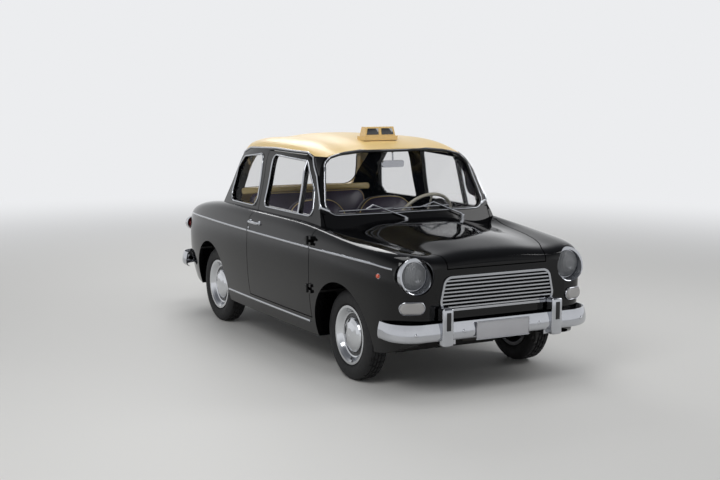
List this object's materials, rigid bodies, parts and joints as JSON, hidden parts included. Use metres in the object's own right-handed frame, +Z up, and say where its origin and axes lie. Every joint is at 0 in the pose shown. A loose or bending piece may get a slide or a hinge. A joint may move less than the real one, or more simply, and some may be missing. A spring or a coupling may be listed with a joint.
{
  "type": "taxi saloon car",
  "caption": "Small rounded two-door taxi saloon in black with a cream roof, a roof sign, opening doors, hood and boot, steered front wheels and rolling wheels.",
  "frame": {"origin": "on the ground under the middle of the car", "axes": "+Z up, the car's nose points along -Y and its left side lies at +X"},
  "size_m": [1.481, 3.43, 1.434],
  "materials": {
    "body_black": "gloss black enamel",
    "roof_cream": "gloss cream-yellow enamel",
    "chassis_black": "matt black underbody paint",
    "chrome": "bright plating",
    "wheel_steel": "dark enamelled steel with a plated cap and ring",
    "tyre": "black rubber",
    "clear_glass": "clear",
    "lens_clear": "ribbed",
    "lens_red": "ribbed red",
    "seat_vinyl": "dark purple-black vinyl with cream piping",
    "dash_paint": "satin black",
    "wheel_plastic": "ivory hard plastic",
    "rubber_black": "black",
    "sign_cream": "cream housing with dark panes",
    "iron_grey": "oiled casting",
    "steel_grey": "dull steel"
  },
  "bodies": {
    "root": {"floor_pan": "chassis_black", "sills": "body_black", "fender_left": "body_black", "fender_right": "body_black", "nose_panel": "body_black", "windscreen_frame": "body_black", "roof": "roof_cream", "quarter_left": "body_black", "quarter_right": "body_black", "tail_panels": "body_black", "windscreen": "clear_glass", "rear_window": "clear_glass", "side_windows": "clear_glass", "grille": "chrome", "bumper_front": "chrome", "bumper_rear": "chrome", "headlamps": "chrome", "headlamp_lenses": "lens_clear", "turn_signals": "lens_clear", "tail_lamps": "lens_red", "front_seats": "seat_vinyl", "rear_seat": "seat_vinyl", "dashboard": "dash_paint", "mirror": "chrome", "wipers": "chrome", "roof_sign": "sign_cream", "front_suspension": "chassis_black", "rear_axle": "steel_grey", "engine": "iron_grey", "driveline": "iron_grey", "exhaust": "steel_grey", "fuel_tank": "chassis_black"},
    "hood": {"hood": "body_black"},
    "boot_lid": {"boot_lid": "body_black"},
    "door_left": {"door_left": "body_black", "door_glass_left": "clear_glass"},
    "door_right": {"door_right": "body_black", "door_glass_right": "clear_glass"},
    "steering_wheel": {"steering_wheel": "wheel_plastic"},
    "knuckle_left": {"knuckle_left": "steel_grey"},
    "knuckle_right": {"knuckle_right": "steel_grey"},
    "wheel_front_left": {"wheel_front_left": "wheel_steel", "tyre_front_left": "tyre"},
    "wheel_front_right": {"wheel_front_right": "wheel_steel", "tyre_front_right": "tyre"},
    "wheel_rear_left": {"wheel_rear_left": "wheel_steel", "tyre_rear_left": "tyre"},
    "wheel_rear_right": {"wheel_rear_right": "wheel_steel", "tyre_rear_right": "tyre"}
  },
  "joints": [
    {"name": "hood_hinge", "type": "hinge", "parent": "root", "child": "hood", "pos_m": [0, -0.757, 0.877], "axis": [-1, 0, 0], "range_deg": [0, 55]},
    {"name": "boot_hinge", "type": "hinge", "parent": "root", "child": "boot_lid", "pos_m": [0, 1.132, 0.873], "axis": [1, 0, 0], "range_deg": [0, 60]},
    {"name": "door_left_hinge", "type": "hinge", "parent": "root", "child": "door_left", "pos_m": [0.7325, -0.696, 0.6], "axis": [0, 0, -1], "range_deg": [0, 65]},
    {"name": "door_right_hinge", "type": "hinge", "parent": "root", "child": "door_right", "pos_m": [-0.7325, -0.696, 0.6], "axis": [0, 0, 1], "range_deg": [0, 65]},
    {"name": "steer_left", "type": "hinge", "parent": "root", "child": "knuckle_left", "pos_m": [0.503, -1.05, 0.264], "axis": [0, 0, 1], "range_deg": [-30, 30]},
    {"name": "steer_right", "type": "hinge", "parent": "root", "child": "knuckle_right", "pos_m": [-0.503, -1.05, 0.264], "axis": [0, 0, 1], "range_deg": [-30, 30]},
    {"name": "steering_column", "type": "hinge", "parent": "root", "child": "steering_wheel", "pos_m": [0.33, -0.3, 0.826], "axis": [0, 0.848, 0.5299], "range_deg": [-420, 420]},
    {"name": "roll_front_left", "type": "hinge", "parent": "knuckle_left", "child": "wheel_front_left", "pos_m": [0.575, -1.05, 0.264], "axis": [1, 0, 0], "continuous": true},
    {"name": "roll_front_right", "type": "hinge", "parent": "knuckle_right", "child": "wheel_front_right", "pos_m": [-0.575, -1.05, 0.264], "axis": [1, 0, 0], "continuous": true},
    {"name": "roll_rear_left", "type": "hinge", "parent": "root", "child": "wheel_rear_left", "pos_m": [0.575, 0.95, 0.264], "axis": [1, 0, 0], "continuous": true},
    {"name": "roll_rear_right", "type": "hinge", "parent": "root", "child": "wheel_rear_right", "pos_m": [-0.575, 0.95, 0.264], "axis": [1, 0, 0], "continuous": true}
  ],
  "couplings": [
    {"joint": "steer_right", "follows": "steer_left", "ratio": 1},
    {"joint": "steering_column", "follows": "steer_left", "ratio": 14}
  ]
}
